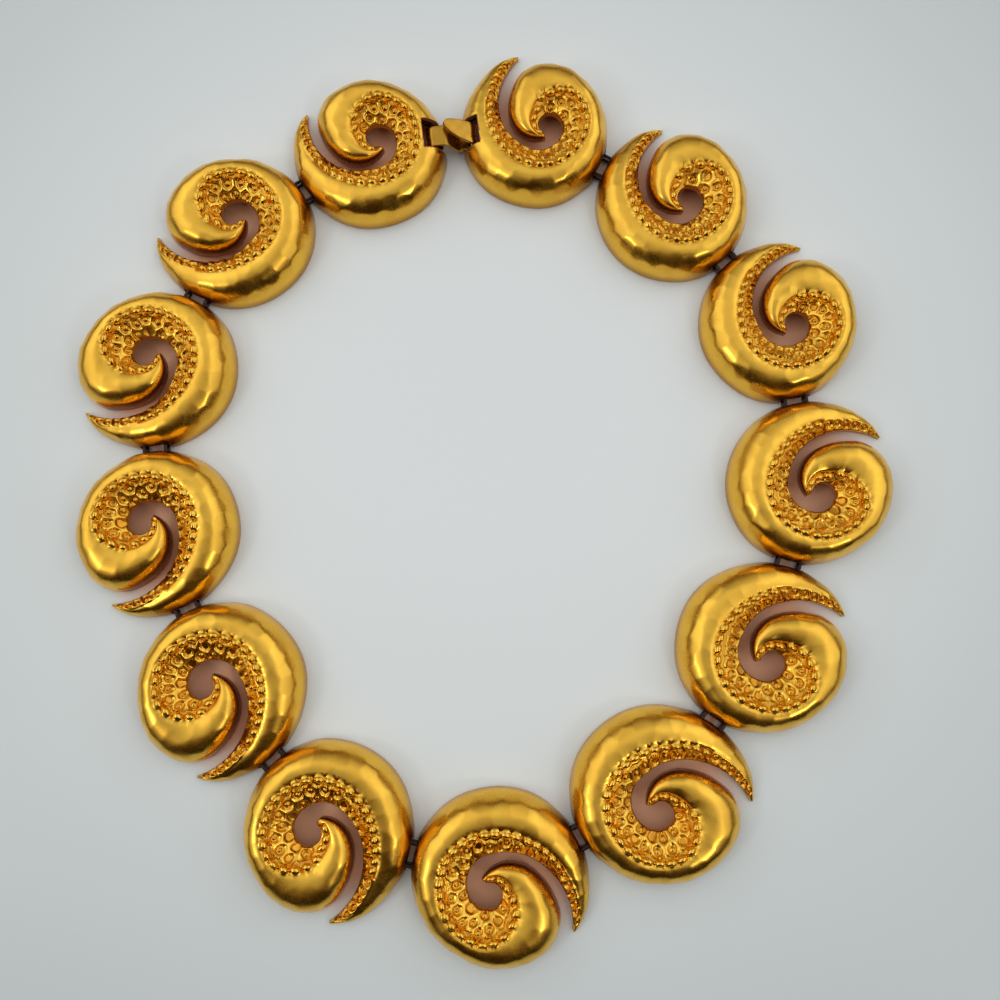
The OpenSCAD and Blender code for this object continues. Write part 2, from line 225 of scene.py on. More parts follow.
def smooth(x, lo, hi):
    t = np.clip((x - lo) / (hi - lo), 0, 1)
    return t * t * (3 - 2 * t)


def away(bearing, direction):
    """Degrees between bearings and a direction."""
    return np.abs((bearing - direction + 180) % 360 - 180)


def xy(a, r):
    t = np.radians(a + ARM_DIR)
    return np.stack([r * np.cos(t), r * np.sin(t)], -1)


def surface(a, share, r_in, width):
    """Points of the smooth outside, a share of the way across the arm."""
    return np.concatenate([xy(a, r_in + share * width), dome_z(a, share)[..., None]], -1)


def stations(k, cut):
    """Angles with the same step along the middle of the band."""
    a = np.linspace(ARM_START, ARM_END - cut, 4000)
    r = (arm(SLOT_R, a) + arm(BAND_R, a)) / 2 * k
    steps = np.hypot((r[1:] + r[:-1]) / 2 * np.radians(np.diff(a)), np.diff(r))
    length = np.concatenate([[0], np.cumsum(steps)])
    return np.interp(np.linspace(0, length[-1], int(length[-1] / STEP_ALONG)), length, a)


def uneven(g, rng):
    """How far the outline is pulled in, in mm: nothing at the ends of the arm and at the links."""
    share = smooth(g.A, *UNEVEN_FROM) * (1 - smooth(g.A, *UNEVEN_TO))
    for direction, _, _ in g.links:
        share = share * smooth(away(g.bearing, direction), *LINK_EVEN)
    turn = np.radians(g.A)
    waves = 1 + 0.5 * np.sin(turn * 3 + rng.uniform(0, 6.3)) + 0.5 * np.sin(turn * 7 + rng.uniform(0, 6.3))
    return share * UNEVEN * waves


def grid(i, rng):
    """A medallion's smooth top in mm: sections along the arm (A, rin, w), points across (s, edge, span)."""
    lay = LAY[i]
    g = SimpleNamespace(k=lay[SIZE] / BASE_D, out=lay[TAIL_OUT], cut=lay[HOOK_CUT], links=links_of(i))
    g.A = stations(g.k, g.cut)
    g.rin, rband, rout = (arm(column, g.A) * g.k + bend(g.A, g.out) for column in (SLOT_R, BAND_R, OUTER_R))
    g.off = HOLE_OFF * g.k * heading(HOLE_DIR)
    rim = xy(g.A, rout) + g.off
    g.bearing = np.degrees(np.arctan2(rim[:, 1], rim[:, 0])) + lay[TAIL]
    rout = rout - uneven(g, rng)
    g.w = rout - g.rin
    g.band = np.clip((rband - g.rin) / g.w, 0.02, 0.9)
    g.s = np.concatenate([ACROSS_BAND[None, :] * g.band[:, None],
                          g.band[:, None] + ACROSS_DOME[None, :] * (1 - g.band)[:, None]], 1)
    g.edge = g.s * g.w[:, None]
    g.span = (rband - g.rin)[:, None] - g.edge
    g.AA = np.broadcast_to(g.A[:, None], g.s.shape)
    g.base = surface(g.AA, g.s, g.rin[:, None], g.w[:, None])
    g.normal = normals(g)
    return g


def normals(g):
    """Outward directions of the smooth top."""
    r_in, width = g.rin[:, None], g.w[:, None]
    across = (surface(g.AA, np.clip(g.s + PROBE, 0, 1), r_in, width)
              - surface(g.AA, np.clip(g.s - PROBE, 0, 1), r_in, width))
    t = np.radians(g.AA + ARM_DIR)
    climb = dome_z(g.AA + 0.5, g.s) - dome_z(g.AA - 0.5, g.s)
    climb = climb / (np.radians(1.0) * np.hypot(g.base[..., 0], g.base[..., 1]))
    normal = np.cross(across, np.stack([-np.sin(t), np.cos(t), climb], -1))
    normal /= np.maximum(np.linalg.norm(normal, axis=-1, keepdims=True), 1e-9)
    return normal * np.where(normal[..., 2:3] < 0, -1, 1)


def walk(start, end, radius, pitch, rng, wobble=0.1):
    """Angles of beads along the row whose radius is radius(a), pitch(a) mm apart."""
    a, out = start, []
    while a < end:
        out.append(a)
        a += math.degrees(pitch(a) * (1 + wobble * rng.uniform(-1, 1)) / max(float(radius(a)), 1.0))
    return np.array(out)


def band_width(a, k):
    return (arm(BAND_R, a) - arm(SLOT_R, a)) * k


def fat(wide):
    """How full the beads are where the band is so wide, 0 to 1."""
    return np.clip((wide - 1.5) / 3, 0, 1)


def bead_row(g, rng):
    """The outer row of beads, mid-band where that is narrow: middles, angles and width of the band."""
    def row_r(a):
        slot, band = arm(SLOT_R, a) * g.k, arm(BAND_R, a) * g.k
        wide = smooth(band - slot, MID_FROM, MID_TO)
        by_edge = band - ROW_IN - ROW_IN_MORE * fat(band_width(a, g.k))
        return wide * by_edge + (1 - wide) * (slot + band) / 2 + bend(a, g.out)

    def pitch(a):
        return ROW_PITCH + ROW_PITCH_MORE * fat(band_width(a, g.k))

    a = walk(ROW_FROM, ROW_TO - g.cut, row_r, pitch, rng)
    return xy(a, row_r(a)), a, band_width(a, g.k)


def packed(fixed, floor_pts, weight, clear, rng):
    """Cells spread evenly behind the fixed beads: scattered, then moved to the middle of what each holds."""
    sites = list(fixed)
    for q in rng.permutation(np.nonzero(clear)[0]):
        p = floor_pts[q]
        if min(np.sum((p - c) ** 2) for c in sites) > CELL_GAP**2:
            sites.append(p)
    sites = np.array(sites)
    for _ in range(SETTLE_ROUNDS):
        near = ((floor_pts[:, None, :] - sites[None]) ** 2).sum(-1).argmin(1)
        for j in range(len(fixed), len(sites)):
            mine = near == j
            if mine.any():
                sites[j] = (floor_pts[mine] * weight[mine, None]).sum(0) / weight[mine].sum()
    return sites


def cell_middles(g, flat, fixed, rng):
    """Middles of the fixed beads and of the cells behind them, spread over some of the grid's points."""
    edge, span, angle = g.edge.reshape(-1), g.span.reshape(-1), g.AA.reshape(-1)
    thin = np.zeros(g.s.shape, bool)
    thin[::3, ::2] = True
    thin = thin.reshape(-1) & (span > -0.1) & (angle > CELLS_FROM) & (angle < CELLS_TO - g.cut)

    def each(per_section):
        return np.broadcast_to(per_section[:, None], g.s.shape).reshape(-1)[thin]

    weight = np.hypot(flat[thin, 0], flat[thin, 1]) * each(np.gradient(g.A)) * each(g.band * g.w)
    clear = (edge[thin] > SCATTER_EDGE) & (span[thin] > SCATTER_SPAN)
    return packed(fixed, flat[thin], weight, clear, rng)


def cells(flat, edge, centre, rng):
    """Nearest cell of each point, height and painted shade: pits with a bead in most, in a net with raised
    ridges. The shade is painted dark in each pit, less on its bead.
    """
    grow = rng.uniform(0.9, 1.08, len(centre))
    D = np.linalg.norm(flat[:, None, :] - centre[None], axis=-1)
    between = np.linalg.norm(centre[:, None] - centre[None], axis=-1) + 9 * np.eye(len(centre))
    hole_r = np.clip(np.sort(between, 1)[:, :2].mean(1) / 2 - CELL_WALL, CELL_R_MIN, CELL_R_MAX) * grow
    order = np.argsort(D, 1)[:, :2]
    pick = np.arange(len(flat))
    d1, d2 = D[pick, order[:, 0]], D[pick, order[:, 1]]
    near = order[:, 0]
    angle = np.arctan2(flat[:, 1] - centre[near, 1], flat[:, 0] - centre[near, 0])
    outline = 1 + 0.07 * np.sin(2 * angle + near * 1.7) + 0.05 * np.sin(3 * angle + near * 4.1)
    pit = smooth(hole_r[near] * outline - d1, -0.06, 0.34)
    bead_r = 0.50 * hole_r[near] * (0.85 + 0.3 * (np.sin(near * 78.233) * 0.5 + 0.5))
    bead = np.sqrt(np.clip(1 - (d1 / bead_r) ** 2, 0, 1)) * (np.sin(near * 12.9898) > -0.75)
    net = NET + RIDGE * np.exp(-((d2 - d1) / 2 / RIDGE_W) ** 2) - 0.10 * smooth(edge, 0.35, 0.0)
    # Painted shade: dark in the pit, less on its bead
    return near, net - PIT * pit + PIT_BEAD * bead, pit * (1 - 0.35 * bead)


def row_beads(flat, centre, angle, wide, rng):
    """The oval beads of the outer row: how far up its dome each point is, and the groove around them."""
    turn = np.radians(angle + ARM_DIR)
    d = flat[:, None, :] - centre[None]
    du = -d[..., 0] * np.sin(turn) + d[..., 1] * np.cos(turn)
    dv = d[..., 0] * np.cos(turn) + d[..., 1] * np.sin(turn)
    half_l = (BEAD_L + BEAD_MORE * fat(wide)) * rng.uniform(0.92, 1.06, len(centre))
    half_w = (BEAD_W + BEAD_MORE * fat(wide)) * rng.uniform(0.9, 1.1, len(centre))
    q = (du / half_l) ** 2 + (dv / half_w) ** 2
    dome = (np.sqrt(np.clip(1 - q, 0, 1)) * (0.5 + 0.25 * fat(wide))).max(1)
    return dome, np.exp(-((np.sqrt(q.min(1)) - GROOVE_AT) / GROOVE_W) ** 2)


def band_relief(g, rng):
    """The granulated band, cells behind a row of beads: height in mm, painted shade in its pits, behind the
    row and in the groove round it, and how far a point is in it.
    """
    flat, angle = g.base[..., :2].reshape(-1, 2), g.AA.reshape(-1)
    edge, span = g.edge.reshape(-1), g.span.reshape(-1)
    fixed, fixed_a, wide = bead_row(g, rng)
    centre = cell_middles(g, flat, fixed, rng)
    is_cell = np.ones(len(centre), bool)
    is_cell[:len(fixed)] = (wide < NARROW) & (fixed_a < CELL_ROW_TO)
    near, cell_h, cell_shade = cells(flat, edge, centre, rng)
    row = np.nonzero(~is_cell)[0]
    dome, groove = row_beads(flat, centre[row], fixed_a[row], wide[row], rng)

    tips = smooth(angle, *TIP_FADE) * (1 - smooth(angle + g.cut, *HOOK_FADE))
    inside = smooth(span, *BAND_FADE) * tips
    relief = np.where(is_cell[near], cell_h, ROW_BACK)
    h = inside * np.maximum(relief, ROW_FLOOR + dome * ROW_RISE) * (1 - 0.8 * smooth(edge, 0.25, 0.0))
    h -= GROOVE * groove * tips * smooth(span, *GROOVE_FADE)
    # Painted shade: dark in the pits and in the floor behind the row of beads, none on the beads, and in the
    # groove round them
    recess_shade = inside * np.where(is_cell[near], cell_shade, 0.9) * (1 - np.clip(dome * 2.4, 0, 1))
    recess_shade += 0.6 * groove * tips * smooth(span, *RECESS_SHADE_FADE) * (1 - inside)
    return h, recess_shade.reshape(g.s.shape), inside


def hammered(g, rng):
    """Height of the hammered skin in mm: shallow dimples that meet in soft ridges, over slow waves."""
    marks = g.base.reshape(-1, 3)
    seeds = []
    for q in rng.permutation(len(marks))[:MARK_TRIES]:
        if all(np.sum((marks[q] - c) ** 2) > MARK_GAP**2 for c in seeds):
            seeds.append(marks[q])
    # these draws aren't used: they keep the waves' own draws in their place
    rng.uniform(0.6, 1.3, len(seeds))
    D2 = ((marks[:, None, :] - np.array(seeds)[None]) ** 2).sum(-1)
    m = D2.min(1)
    soft = m - np.log(np.exp(-MARK_SOFT * (D2 - m[:, None])).sum(1)) / MARK_SOFT
    steep = 1 - g.normal[..., 2].reshape(-1)
    wave = np.zeros(len(marks))
    for _ in range(WAVES):
        v = rng.normal(0, 1, 3)
        v = v / np.linalg.norm(v) * rng.uniform(0.5, 1.3)
        wave += np.sin(marks @ v + rng.uniform(0, 6.3)) / WAVES
    return (np.clip(soft, 0, 4.0) - MARK_MID) * MARK * (0.7 + 1.6 * steep) + WAVE * wave


def raised(g, h):
    """The top lifted by its relief, with its edge rounded over into the lip of the slot."""
    height = h.reshape(g.s.shape) * (smooth((1 - g.s) * g.w[:, None], 0.0, 0.8) * 0.85 + 0.15)
    height = np.where(g.edge < 0.05, np.minimum(height, 0.05), height)
    top = g.base + g.normal * height[..., None]
    x_in = np.clip(g.edge, 0, LIP_ROUND)
    top[..., 2] -= LIP_ROUND - np.sqrt(np.clip(LIP_ROUND**2 - (LIP_ROUND - x_in) ** 2, 0, None))
    top[..., 2] = np.maximum(top[..., 2], LOWEST_SKIN)
    return top


def section(g, top):
    """Closed rings of points round the arm: the slot's lip, the skin, the rim and the underside."""
    rim_r = g.rin + g.w
    wall = np.minimum(WALL_T, 0.28 * g.w)
    slot_low = np.maximum(dome_z(g.A, 0.0) - LIP_H, 0)
    lip_z, rim_z = top[:, 0, 2], top[:, -1, 2]
    low = np.minimum(np.maximum(dome_z(g.A, 1.0) - LIP_H, 0), rim_z - 0.05)
    low = np.maximum(low, 0)

    def ring(r, z):
        return np.concatenate([xy(g.A, r), z[:, None]], -1)

    parts = [ring(g.rin + 0.06, slot_low)]
    parts += [ring(g.rin, slot_low + up * (lip_z - slot_low)) for up in LIP_UP]
    parts += [top[:, j] for j in range(top.shape[1])]
    parts += [ring(rim_r, low + 0.35 * np.minimum(rim_z - low, 0.4)), ring(rim_r - 0.08, low),
              ring(rim_r - wall, low)]
    for u in np.linspace(0.95, 0.05, UNDER_POINTS):
        step = surface(g.A, u + PROBE, g.rin, g.w) - surface(g.A, u - PROBE, g.rin, g.w)
        run, rise = np.hypot(step[:, 0], step[:, 1]), step[:, 2]
        length = np.hypot(run, rise)
        r = np.clip(g.rin + u * g.w + rise / length * wall,
                    g.rin + wall * 0.8, np.maximum(rim_r - wall, g.rin + wall * 0.85))
        lowest = (low if u > 0.5 else slot_low) + 0.02
        parts.append(ring(r, np.maximum(dome_z(g.A, u) - run / length * wall, lowest)))
    parts.append(ring(g.rin + wall * 0.8, slot_low))
    return np.stack(parts, 1)


def painted_shade_and_underside(g, top, recess_shade, points):
    """Colours of the rings: painted shade in pits and crevices, painted shade along the slot's edge and lip,
    on the rim and the foot of the outer flanks, higher beside a link and on the lobe's outer foot, and the
    underside.
    """
    recess_shades, dark_shade, under = (np.zeros((len(g.A), points)) for _ in range(3))
    recess_shades[:, SKIN] = recess_shade
    lobe = (smooth(g.A, *LOBE_FROM) * (1 - smooth(g.A + g.cut, *LOBE_TO) * 0.5))[:, None]
    by_link = np.zeros(len(g.A))
    for direction, _, _ in g.links:
        by_link = np.maximum(by_link, 1 - smooth(away(g.bearing, direction), *LINK_SHADE_SPAN))
    outer = smooth(g.edge, *FLANK_FROM)
    # Painted shade on the lobe's outer foot, along the slot's edge, at the foot of the outer flank, and
    # higher up the flank beside a link
    dark_shade[:, SKIN] = np.maximum.reduce([
        lobe * (1 - smooth((1 - g.s) * g.w[:, None], 0.0, 0.5)),
        EDGE_SHADE * (1 - smooth(g.edge, 0.0, 0.22)),
        EDGE_SHADE * (1 - smooth(top[..., 2], *FLANK_FADE)) * outer,
        LINK_FLANK_SHADE * by_link[:, None] * (1 - smooth(top[..., 2], *LINK_FLANK_FADE)) * outer])
    # Painted shade on the rim and on the slot's lip
    dark_shade[:, RIM] = np.maximum(lobe, EDGE_SHADE)
    dark_shade[:, :SKIN.start] = LIP_SHADE
    under[:, RIM.start + 1:] = 1.0
    under[:, :SKIN.start - 1] = 1.0
    under[:, SKIN.start - 1] = 0.5
    return np.stack([recess_shades, dark_shade, under], -1)


def closed_skin(loop, col):
    """The rings joined to a closed skin, with a fan over each end of the arm: points, faces and colours."""
    n, m = loop.shape[:2]
    verts, col = loop.reshape(-1, 3), col.reshape(-1, 3)
    idx = np.arange(n * m).reshape(n, m)
    beside = np.roll(idx, -1, 1)
    quads = np.stack([idx[:-1], idx[1:], beside[1:], beside[:-1]], -1).reshape(-1, 4)
    faces = [tuple(int(v) for v in f) for f in quads]
    tips = []
    for end, flip in ((0, False), (n - 1, True)):
        tip = len(verts) + len(tips)
        tips.append(verts[idx[end]].mean(0))
        for j in range(m):
            f = (int(idx[end, j]), int(idx[end, (j + 1) % m]), tip)
            faces.append(f[::-1] if flip else f)
    return np.concatenate([verts, tips]), faces, np.concatenate([col, [TIP_SHADE] * len(tips)])


def rim_openings(i):
    """The bars and staples as (radius, path), and the boxes that open the rim, where the solids have them."""
    radius, tubes, boxes = LAY[i][SIZE] / 2, [], []
    for direction, depth, clasp in links_of(i):
        ux, uy = heading(direction - LAY[i][TAIL])

        def at(x, y, z):
            return np.array([x * ux - y * uy, x * uy + y * ux, z])

        half, top_z = (NOTCH_W / 2, OPEN_TOP) if clasp else (CUT_W / 2, CUT_H)
        inner, past = radius - depth, radius + OPEN_PAST
        boxes.append([at(x, y, z) for z in (OPEN_BELOW, top_z)
                      for x, y in ((inner, -half), (past, -half), (past, half), (inner, half))])
        if not clasp:
            reach = CUT_W / 2 + BAR_PAST
            tubes.append((BAR_R, [at(radius - BAR_IN, y, BAR_Z) for y in np.linspace(-reach, reach, 7)]))
            continue
        bar_in, foot_z = (EYE_BAR_IN, EYE_FOOT_Z) if i == COUNT - 1 else (CATCH_BAR_IN, CATCH_FOOT_Z)
        x, foot_x, side = radius - bar_in, inner - FOOT_SINK, STAPLE_W / 2
        leg = ((foot_x, foot_z), ((x + foot_x) / 2, (CLASP_BAR_Z + foot_z) / 2),
               (x - CORNER_IN, CLASP_BAR_Z + CORNER_UP))
        path = [at(leg_x, -side, leg_z) for leg_x, leg_z in leg]
        path += [at(x, y, CLASP_BAR_Z) for y in np.linspace(-side + CORNER_ALONG, side - CORNER_ALONG, 7)]
        path += [at(leg_x, side, leg_z) for leg_x, leg_z in leg[::-1]]
        tubes.append((STAPLE_R, path))
    return tubes, boxes


def medallion(i):
    """Medallion i in mm where it lies: points, faces, colours, and the number of faces before its wires."""
    rng = np.random.default_rng(100 + i)
    g = grid(i, rng)
    h, recess_shade, inside = band_relief(g, rng)
    h += (1 - inside) * hammered(g, rng)
    top = raised(g, h)
    loop = section(g, top)
    col = painted_shade_and_underside(g, top, recess_shade, loop.shape[1])
    loop[..., :2] += g.off
    verts, faces, col = closed_skin(loop, col)
    tubes, boxes = rim_openings(i)
    (c, s), (px, py) = heading(LAY[i][TAIL]), place(i)

    def laid(v):
        v = np.array(v, float)
        return np.stack([v[:, 0] * c - v[:, 1] * s + px, v[:, 0] * s + v[:, 1] * c + py, v[:, 2]], 1)

    shell = make_mesh("shell", laid(verts), faces, col)
    verts, faces, col = opened(shell, [laid(b) for b in boxes])
    shell_faces = len(faces)
    for r, path in tubes:
        tube_verts, tube_faces = tube(np.array(path), r, 14)
        faces += [tuple(v + len(verts) for v in f) for f in tube_faces]
        verts = np.concatenate([verts, laid(tube_verts)])
        col = np.concatenate([col, np.zeros((len(tube_verts), 3))])
    lo, hi = np.array(CAD_BOX) / MM
    return np.clip(verts, lo, hi), faces, col, shell_faces


def opened(shell, boxes):
    """The shell with the boxes cut out of it, as points, faces and colours. The shell itself is used up."""
    quads = ((3, 2, 1, 0), (4, 5, 6, 7), (0, 1, 5, 4), (1, 2, 6, 5), (2, 3, 7, 6), (3, 0, 4, 7))
    cutter = make_mesh("cutter", np.concatenate(boxes),
                       [tuple(v + 8 * b for v in q) for b in range(len(boxes)) for q in quads])
    mod = shell.modifiers.new("open", "BOOLEAN")
    mod.operation, mod.object, mod.solver = "DIFFERENCE", cutter, "MANIFOLD"
    mesh = bpy.data.meshes.new_from_object(shell.evaluated_get(bpy.context.evaluated_depsgraph_get()))
    n = len(mesh.vertices)
    verts = np.empty(n * 3)
    mesh.vertices.foreach_get("co", verts)
    col = np.zeros(n * 4, np.float32)
    mesh.attributes["painted_shade_and_underside"].data.foreach_get("color", col)
    faces = [tuple(p.vertices) for p in mesh.polygons]
    for obj in (shell, cutter):
        old = obj.data
        bpy.data.objects.remove(obj)
        bpy.data.meshes.remove(old)
    bpy.data.meshes.remove(mesh)
    return verts.reshape(-1, 3) / MM, faces, col.reshape(-1, 4)[:, :3].astype(float)


def swept(count, m):
    """Faces of a solid through count outlines of m points each, with flat ends."""
    faces = []
    for j in range(count - 1):
        for q in range(m):
            a, b = j * m + q, j * m + (q + 1) % m
            faces.append((a, b, b + m, a + m))
    faces.append(tuple(range(m))[::-1])
    faces.append(tuple((count - 1) * m + q for q in range(m)))
    return faces


def tube(path, r, sides):
    """A round tube with flat ends along a path of points."""
    d = np.gradient(path, axis=0)
    d /= np.linalg.norm(d, axis=1, keepdims=True)
    up = np.array([0, 0, 1.0]) if abs(d[0][2]) < 0.9 else np.array([1.0, 0, 0])
    verts = []
    for p, t in zip(path, d):
        u = np.cross(up, t)
        u /= np.linalg.norm(u)
        v = np.cross(t, u)
        for q in range(sides):
            w = 2 * math.pi * q / sides
            verts.append(p + r * (math.cos(w) * u + math.sin(w) * v))
    return np.array(verts), swept(len(path), sides)


def strip_path(eye_x, catch_x):
    """The hook's path from the rolled eye to the tip of its tongue: x, z, half the width, and sideways."""
    eye_mid, bend_mid = EYE_R + HOOK_T / 2, BEND_R + HOOK_T / 2
    high, low = CLASP_BAR_Z + eye_mid, BEND_Z - bend_mid
    strap = catch_x - eye_x - FALL_TO
    path = []
    for q in np.radians(np.linspace(370, 96, 40)):
        path.append((eye_x + eye_mid * math.cos(q), CLASP_BAR_Z + eye_mid * math.sin(q)))
    for u in np.linspace(0, 0.92, 6):
        path.append((eye_x + u * FALL_FROM, high))
    for u in np.linspace(0, 1, 18):
        path.append((eye_x + FALL_FROM + (FALL_TO - FALL_FROM) * u,
                     low + (high - low) * (1 + math.cos(math.pi * u)) / 2))
    for u in np.linspace(0.15, 0.9, 5):
        path.append((eye_x + FALL_TO + strap * u, low))
    for q in np.radians(np.linspace(-90, 90 - TONGUE_RISE, 20)):
        path.append((catch_x + bend_mid * math.cos(q), BEND_Z + bend_mid * math.sin(q)))
    path = np.array(path)
    half = HOOK_W / 2 * (0.93 + 0.06 * smooth((path[:, 0] - eye_x) / (catch_x - eye_x), 0.1, 0.9))
    path = np.column_stack([path, half, np.zeros(len(path))])
    x0, z0 = path[-1, :2]
    rise = math.radians(TONGUE_RISE)
    tongue = []
    for u in np.concatenate([np.linspace(0.05, 0.85, 16), 1 - 0.15 * np.linspace(0.85, 0, 10) ** 1.6]):
        half = HOOK_W / 2 * 0.98 * (1 - 0.12 * u) * math.sqrt(max(0.0, 1 - u**2.6))
        sag = 0.10 * math.sin(math.pi * u)
        tongue.append((x0 - u * TONGUE_LEN * math.cos(rise), z0 + u * TONGUE_LEN * math.sin(rise) - sag,
                       max(0.05, half), TONGUE_LEAN * u))
    return np.concatenate([path, np.array(tongue)])


def strip_outline(half_w, round_r=0.2):
    """Across the strip: y and z of a flat outline with rounded corners and points along its sides."""
    half_t = HOOK_T / 2
    r = min(round_r, half_w * 0.9)
    corners = []
    for cx, cy, start in ((1, 1, 0), (-1, 1, 90), (-1, -1, 180), (1, -1, 270)):
        corners.append([(cx * (half_w - r) + r * math.cos(q), cy * (half_t - r) + r * math.sin(q))
                        for q in np.radians(np.linspace(start, start + 90, 4))])
    outline = []
    for corner, after in zip(corners, corners[1:] + corners[:1]):
        (y, z), (next_y, next_z) = corner[-1], after[0]
        outline += corner
        outline += [(y + (next_y - y) * u, z + (next_z - z) * u) for u in np.linspace(0, 1, 9)[1:-1]]
    return outline


def strip_hook():
    """The bent strip with its rolled eye and its leaf-shaped tongue, in mm where it lies."""
    first, last = place(0), place(COUNT - 1)
    span = float(np.linalg.norm(first - last))
    path = strip_path(LAY[-1][SIZE] / 2 - EYE_BAR_IN, span - LAY[0][SIZE] / 2 + CATCH_BAR_IN)
    along = np.gradient(path[:, :2], axis=0)
    along /= np.linalg.norm(along, axis=1, keepdims=True)
    verts = []
    for (px, pz, half_w, aside), (tx, tz) in zip(path, along):
        for y, z in strip_outline(half_w):
            z += 0.035 * math.sin(px * 1.3 + y * 1.9 + pz) + 0.02 * math.sin(px * 3.1 - y * 2.3)
            verts.append((px - tz * z, y + aside, pz + tx * z))
    v = np.array(verts)
    c, s = (first - last) / span
    laid = np.stack([v[:, 0] * c - v[:, 1] * s + last[0], v[:, 0] * s + v[:, 1] * c + last[1], v[:, 2]], 1)
    return laid, swept(len(path), len(verts) // len(path))


def make_mesh(name, verts_mm, faces, col=None, sharp=70):
    """An object from points in mm, with its colours in a point attribute: painted shade and the underside's
    share.
    """
    mesh = bpy.data.meshes.new(name)
    mesh.from_pydata([tuple(v) for v in verts_mm * MM], [], faces)
    mesh.update()
    if col is not None:
        layer = mesh.color_attributes.new("painted_shade_and_underside", "FLOAT_COLOR", "POINT")
        data = np.ones((len(verts_mm), 4), np.float32)
        data[:, :3] = np.clip(col, 0, 1)
        layer.data.foreach_set("color", data.reshape(-1))
    mesh.polygons.foreach_set("use_smooth", [True] * len(mesh.polygons))
    mesh.set_sharp_from_angle(angle=math.radians(sharp))
    return linked(name, mesh)


def linked(name, data):
    obj = bpy.data.objects.new(name, data)
    bpy.context.scene.collection.objects.link(obj)
    return obj


# Nodes of the materials and of the world
def nodes_of(name):
    """A new material with its node tree and its one Principled shader."""
    mat = bpy.data.materials.new(name)
    mat.use_nodes = True
    nt = mat.node_tree
    nt.nodes.clear()
    out = nt.nodes.new("ShaderNodeOutputMaterial")
    bsdf = nt.nodes.new("ShaderNodeBsdfPrincipled")
    nt.links.new(bsdf.outputs[0], out.inputs[0])
    return mat, nt, bsdf


def feed(nt, sock, value):
    """Set an input to a number, a colour or a place, or link another node's output to it."""
    if isinstance(value, (int, float)):
        sock.default_value = value
    elif isinstance(value, tuple):
        sock.default_value = (*value, 1) if sock.type == "RGBA" else value
    else:
        nt.links.new(value, sock)


def noise(nt, coord, scale, detail, rough):
    n = nt.nodes.new("ShaderNodeTexNoise")
    for key, value in (("Scale", scale), ("Detail", detail), ("Roughness", rough), ("Vector", coord)):
        feed(nt, n.inputs[key], value)
    return n.outputs[0]


def remap(nt, value, lo, hi, a, b, kind="LINEAR"):
    m = nt.nodes.new("ShaderNodeMapRange")
    m.interpolation_type = kind
    for key, v in (("From Min", lo), ("From Max", hi), ("To Min", a), ("To Max", b), ("Value", value)):
        feed(nt, m.inputs[key], v)
    return m.outputs[0]


def mix(nt, fac, a, b, kind="RGBA"):
    m = nt.nodes.new("ShaderNodeMix")
    m.data_type = kind
    first, out = (6, 2) if kind == "RGBA" else (2, 0)
    for sock, v in ((m.inputs[0], fac), (m.inputs[first], a), (m.inputs[first + 1], b)):
        feed(nt, sock, v)
    return m.outputs[out]


def math_node(nt, op, a, b=0.0):
    m = nt.nodes.new("ShaderNodeMath")
    m.operation = op
    feed(nt, m.inputs[0], a)
    feed(nt, m.inputs[1], b)
    return m.outputs[0]


def distance(nt, coord, point):
    m = nt.nodes.new("ShaderNodeVectorMath")
    m.operation = "DISTANCE"
    feed(nt, m.inputs[0], coord)
    feed(nt, m.inputs[1], point)
    return m.outputs["Value"]


# The metal's mottling and grain: noise scales, and the grain's height in metres
MOTTLE_SCALE, SPECK_SCALE, GRAIN_H, GRAIN_STRENGTH = 220, 1700, 0.000005, 0.15


def gold_material(name, base, deep, dark_shade, rough, inner=None):
    """Hammered metal, mottled from base to deep. With inner, the mesh's attribute paints shade, deep in pits
    and crevices and dark on edges, flanks and rim, and gives the underside the inner colour, less metal and
    rougher.
    """
    mat, nt, bsdf = nodes_of(name)
    coord = nt.nodes.new("ShaderNodeTexCoord").outputs["Object"]
    bsdf.inputs["Metallic"].default_value = 1.0
    mottled = noise(nt, coord, MOTTLE_SCALE, 2, 0.45)
    speck = noise(nt, coord, SPECK_SCALE, 2, 0.5)
    colour = mix(nt, remap(nt, mottled, 0.30, 0.80, 0.0, 0.35), base, deep)
    r = remap(nt, mottled, 0.3, 0.7, *rough)
    r = math_node(nt, "ADD", r, remap(nt, speck, 0.3, 0.7, -0.02, 0.03))
    if inner:
        shade_attr = nt.nodes.new("ShaderNodeAttribute")
        shade_attr.attribute_name = "painted_shade_and_underside"
        split = nt.nodes.new("ShaderNodeSeparateColor")
        nt.links.new(shade_attr.outputs["Color"], split.inputs[0])
        recess_shade, edge, under = split.outputs
        # Painted shade from the mesh's attribute: deep in pits and crevices, dark on edges, flanks and rim
        colour = mix(nt, remap(nt, recess_shade, 0.0, 1.0, 0.0, 0.85), colour, deep)
        colour = mix(nt, remap(nt, edge, 0.1, 1.0, 0.0, 0.9), colour, dark_shade)
        colour = mix(nt, under, colour, inner)
        nt.links.new(remap(nt, under, 0.0, 1.0, 1.0, 0.25), bsdf.inputs["Metallic"])
        r = math_node(nt, "ADD", r, remap(nt, under, 0.0, 1.0, 0.0, 0.35))
    nt.links.new(colour, bsdf.inputs["Base Color"])
    nt.links.new(r, bsdf.inputs["Roughness"])
    bump = nt.nodes.new("ShaderNodeBump")
    bump.inputs["Strength"].default_value = GRAIN_STRENGTH
    bump.inputs["Distance"].default_value = GRAIN_H
    nt.links.new(math_node(nt, "ADD", speck, mottled), bump.inputs["Height"])
    nt.links.new(bump.outputs[0], bsdf.inputs["Normal"])
    return mat


